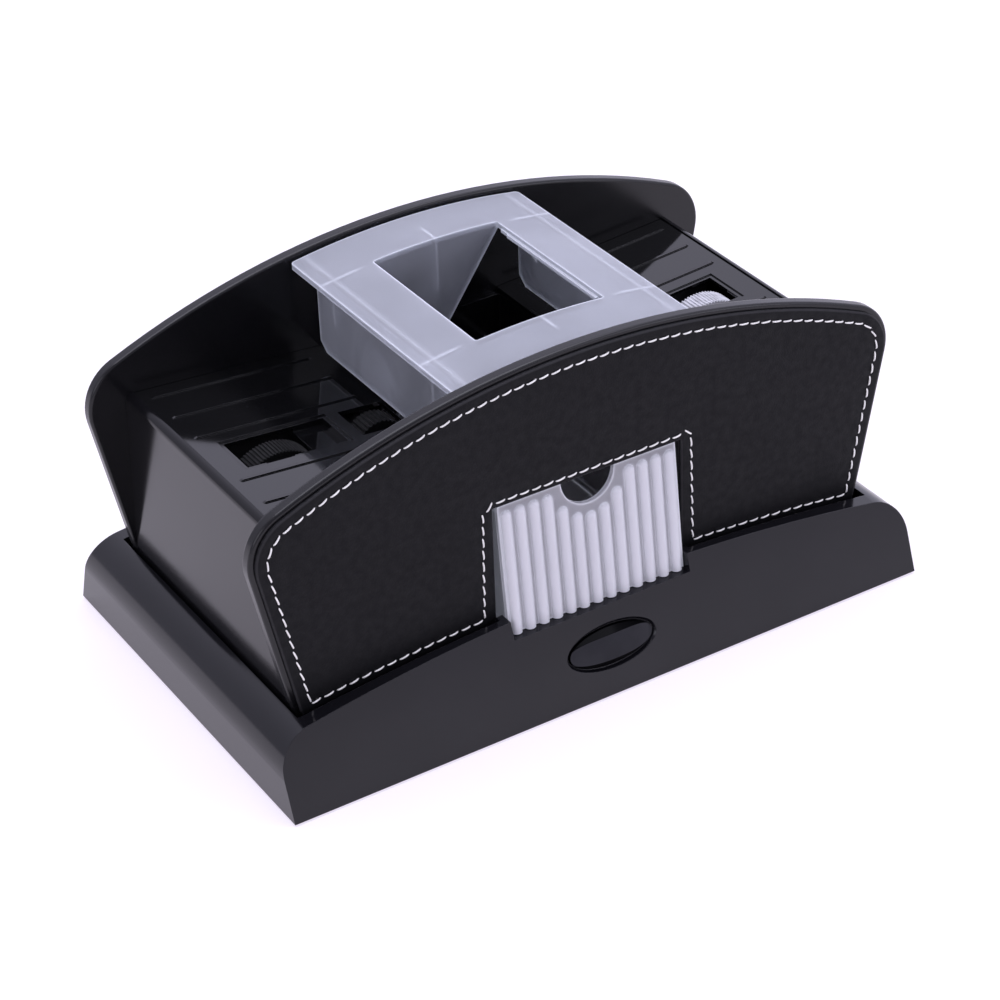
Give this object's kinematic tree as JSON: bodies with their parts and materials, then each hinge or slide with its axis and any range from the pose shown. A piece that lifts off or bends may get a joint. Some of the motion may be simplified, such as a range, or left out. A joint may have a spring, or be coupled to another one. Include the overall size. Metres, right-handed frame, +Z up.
{
  "type": "automatic card shuffler",
  "caption": "Battery card shuffler with leather-clad arched side panels, two feed hoppers, a translucent lift-off cover and a ribbed card drawer.",
  "frame": {"origin": "on the resting surface, under the middle of the base", "axes": "+X along the length, -Y towards the drawer's front, +Z up"},
  "size_m": [0.25, 0.1554, 0.1261],
  "materials": {
    "base_gloss": "polished charcoal black",
    "base_cover": "fine spark-eroded texture",
    "foot_rubber": "matt",
    "screw_steel": "bright zinc",
    "shell_black": "semi-gloss black",
    "platform_black": "semi-gloss black",
    "panel_black": "semi-gloss black",
    "leather": "fine grain, matt, pale stitching",
    "cover_clear": "frosted translucent, faint violet tint",
    "drawer_clear": "frosted translucent, faint violet tint",
    "button_black": "high gloss",
    "switch_plastic": "moulded",
    "spring_steel": "drawn wire",
    "holder_black": "moulded",
    "cell_label": "plain printed sleeve, no text",
    "contact_metal": "nickel plated",
    "frame_white": "natural acetal",
    "bush_brass": "sintered",
    "shaft_steel": "ground",
    "gear_white": "natural acetal",
    "pinion_brass": "hobbed",
    "motor_steel": "zinc-plated can",
    "hub_plastic": "moulded",
    "tyre_black": "ridged tread",
    "tyre_grey": "ridged tread"
  },
  "bodies": {
    "base": {"base_bottom_cover": "base_cover", "base_housing": "base_gloss", "battery_cells": "cell_label", "battery_contacts": "contact_metal", "battery_holder": "holder_black", "body_shell": "shell_black", "bottom_screws": "screw_steel", "bracket_screws": "screw_steel", "button_spring": "spring_steel", "drive_frame_left": "frame_white", "drive_frame_right": "frame_white", "feed_platform_left": "platform_black", "feed_platform_right": "platform_black", "frame_screws": "screw_steel", "idler_pin_left": "shaft_steel", "idler_pin_right": "shaft_steel", "leather_pad_back": "leather", "leather_pad_front": "leather", "motor_can_left": "motor_steel", "motor_can_right": "motor_steel", "motor_screws_left": "screw_steel", "motor_screws_right": "screw_steel", "panel_screws": "screw_steel", "rubber_feet": "foot_rubber", "shaft_bushes_left": "bush_brass", "shaft_bushes_right": "bush_brass", "side_panel_back": "panel_black", "side_panel_front": "panel_black", "start_switch": "switch_plastic", "switch_bracket": "switch_plastic"},
    "drawer": {"card_drawer": "drawer_clear"},
    "cover": {"top_cover": "cover_clear"},
    "battery_door": {"battery_door": "base_cover"},
    "start_button": {"start_button": "button_black", "switch_plunger": "switch_plastic"},
    "feed_roller_left": {"feed_shaft_left": "shaft_steel", "feed_hub_left": "hub_plastic", "feed_tyre_left": "tyre_black", "feed_gear_left": "gear_white"},
    "ejector_roller_left": {"ejector_shaft_left": "shaft_steel", "ejector_hub_left": "hub_plastic", "ejector_tyre_left": "tyre_black", "ejector_gear_left": "gear_white"},
    "idler_left": {"idler_gear_left": "gear_white"},
    "rotor_left": {"motor_shaft_left": "shaft_steel", "motor_pinion_left": "pinion_brass"},
    "feed_roller_right": {"feed_shaft_right": "shaft_steel", "feed_hub_right": "hub_plastic", "feed_tyre_right": "tyre_grey", "feed_gear_right": "gear_white"},
    "ejector_roller_right": {"ejector_shaft_right": "shaft_steel", "ejector_hub_right": "hub_plastic", "ejector_tyre_right": "tyre_black", "ejector_gear_right": "gear_white"},
    "idler_right": {"idler_gear_right": "gear_white"},
    "rotor_right": {"motor_shaft_right": "shaft_steel", "motor_pinion_right": "pinion_brass"}
  },
  "joints": [
    {"name": "drawer_slide", "type": "slide", "parent": "base", "child": "drawer", "axis": [0, -1, 0], "range_m": [0, 0.09]},
    {"name": "cover_lift", "type": "slide", "parent": "base", "child": "cover", "axis": [0, 0, 1], "range_m": [0, 0.06]},
    {"name": "battery_door_release", "type": "slide", "parent": "base", "child": "battery_door", "axis": [0, 0, -1], "range_m": [0, 0.03]},
    {"name": "start_press", "type": "slide", "parent": "base", "child": "start_button", "axis": [0, 0.9439, -0.3304], "range_m": [0, 0.0016], "stiffness_N_per_m": 500, "springref_m": -0.001, "deforming": ["button_spring"]},
    {"name": "feed_spin_left", "type": "hinge", "parent": "base", "child": "feed_roller_left", "pos_m": [-0.0858, 0, 0.0732], "axis": [0, 1, 0], "continuous": true},
    {"name": "ejector_spin_left", "type": "hinge", "parent": "base", "child": "ejector_roller_left", "pos_m": [-0.0464, 0, 0.0778], "axis": [0, 1, 0], "continuous": true},
    {"name": "idler_spin_left", "type": "hinge", "parent": "base", "child": "idler_left", "pos_m": [-0.06071, 0, 0.0627], "axis": [0, 1, 0], "continuous": true},
    {"name": "rotor_spin_left", "type": "hinge", "parent": "base", "child": "rotor_left", "pos_m": [-0.06801, 0, 0.04323], "axis": [0, 1, 0], "continuous": true},
    {"name": "feed_spin_right", "type": "hinge", "parent": "base", "child": "feed_roller_right", "pos_m": [0.0858, 0, 0.0732], "axis": [0, 1, 0], "continuous": true},
    {"name": "ejector_spin_right", "type": "hinge", "parent": "base", "child": "ejector_roller_right", "pos_m": [0.0464, 0, 0.0778], "axis": [0, 1, 0], "continuous": true},
    {"name": "idler_spin_right", "type": "hinge", "parent": "base", "child": "idler_right", "pos_m": [0.06071, 0, 0.0627], "axis": [0, 1, 0], "continuous": true},
    {"name": "rotor_spin_right", "type": "hinge", "parent": "base", "child": "rotor_right", "pos_m": [0.06801, 0, 0.04323], "axis": [0, 1, 0], "continuous": true}
  ],
  "couplings": [
    {"joint": "ejector_spin_left", "follows": "feed_spin_left", "ratio": 2.3333},
    {"joint": "idler_spin_left", "follows": "feed_spin_left", "ratio": -0.7},
    {"joint": "rotor_spin_left", "follows": "feed_spin_left", "ratio": 2.94},
    {"joint": "ejector_spin_right", "follows": "feed_spin_right", "ratio": 2.3333},
    {"joint": "idler_spin_right", "follows": "feed_spin_right", "ratio": -0.7},
    {"joint": "rotor_spin_right", "follows": "feed_spin_right", "ratio": 2.94}
  ]
}
